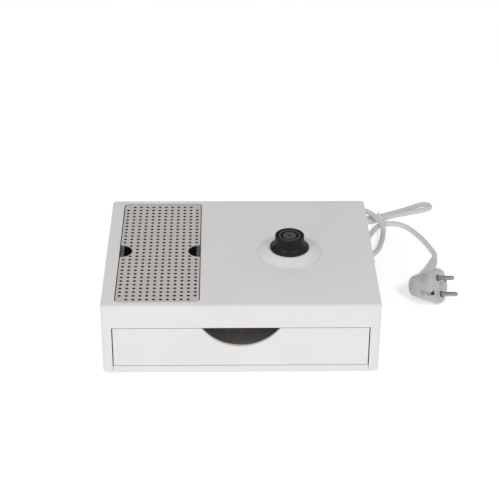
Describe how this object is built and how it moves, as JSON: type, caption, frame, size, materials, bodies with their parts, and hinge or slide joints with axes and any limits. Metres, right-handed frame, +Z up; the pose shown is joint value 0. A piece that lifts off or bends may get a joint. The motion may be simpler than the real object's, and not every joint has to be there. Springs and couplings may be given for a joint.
{
  "type": "countertop appliance tray",
  "caption": "Low rectangular moulded tray with a pull-out drawer, a lift-out perforated steel drip grille and a raised round power connector, fed by a tied lead with a mains plug.",
  "frame": {"origin": "on the surface the feet rest on, under the middle of the casing", "axes": "+X to the right as the drawer is faced, +Y to the back, +Z up"},
  "size_m": [0.366, 0.344, 0.098],
  "materials": {
    "casing_white": "satin moulded white plastic",
    "base_grey": "fine-grained white plastic",
    "drawer_plastic": "matt moulded off-white plastic",
    "runner_plastic": "slick pale grey plastic",
    "foot_rubber": "matt dark rubber",
    "grille_steel": "brushed perforated steel",
    "tray_steel": "drawn steel, satin",
    "connector_black": "satin black heat-resistant plastic",
    "contact_brass": "bright rolled brass",
    "terminal_plastic": "matt natural plastic",
    "core_sheath": "matt insulation",
    "wire_blue": "matt blue insulation",
    "wire_brown": "matt brown insulation",
    "wire_green": "matt green and yellow insulation",
    "cord_grey": "smooth pale grey flexible plastic",
    "relief_rubber": "soft pale grey rubber",
    "plug_grey": "fine satin pale grey plastic",
    "tie_white": "thin coated wire tie",
    "pin_steel": "nickel-plated, slightly dull",
    "screw_steel": "zinc-plated steel"
  },
  "bodies": {
    "housing": {"casing": "casing_white", "base_plate": "base_grey", "feet": "foot_rubber", "left_runner": "runner_plastic", "right_runner": "runner_plastic", "service_floor": "base_grey", "floor_grommet": "foot_rubber", "connector_collar": "casing_white", "connector_cover": "connector_black", "connector_core": "connector_black", "outer_contact_ring": "contact_brass", "inner_contact_ring": "contact_brass", "centre_contact": "contact_brass", "connector_nut": "connector_black", "connector_blades": "contact_brass", "inner_lead": "cord_grey", "cord_clamp": "base_grey", "terminal_block": "terminal_plastic", "lead_cores": "core_sheath", "neutral_wire": "wire_blue", "live_wire": "wire_brown", "earth_wire": "wire_green", "cord_relief": "relief_rubber", "cord_entry": "cord_grey", "cord_hank": "cord_grey", "cord_tie": "tie_white", "cord_lead": "cord_grey", "plug_relief": "relief_rubber", "plug_body": "plug_grey", "plug_pins": "pin_steel", "plug_earth_strips": "pin_steel", "base_screws": "screw_steel", "floor_screws": "screw_steel", "clamp_screws": "screw_steel"},
    "drawer": {"drawer_front": "casing_white", "drawer_box": "drawer_plastic", "drawer_screws": "screw_steel"},
    "drip_tray": {"drip_tray": "tray_steel"},
    "drip_grille": {"drip_grille": "grille_steel"}
  },
  "joints": [
    {"name": "drawer_slide", "type": "slide", "parent": "housing", "child": "drawer", "axis": [0, -1, 0], "range_m": [0, 0.1]},
    {"name": "tray_lift", "type": "slide", "parent": "housing", "child": "drip_tray", "axis": [0, 0, 1], "range_m": [0, 0.12]},
    {"name": "grille_lift", "type": "slide", "parent": "drip_tray", "child": "drip_grille", "axis": [0, 0, 1], "range_m": [0, 0.08]}
  ]
}
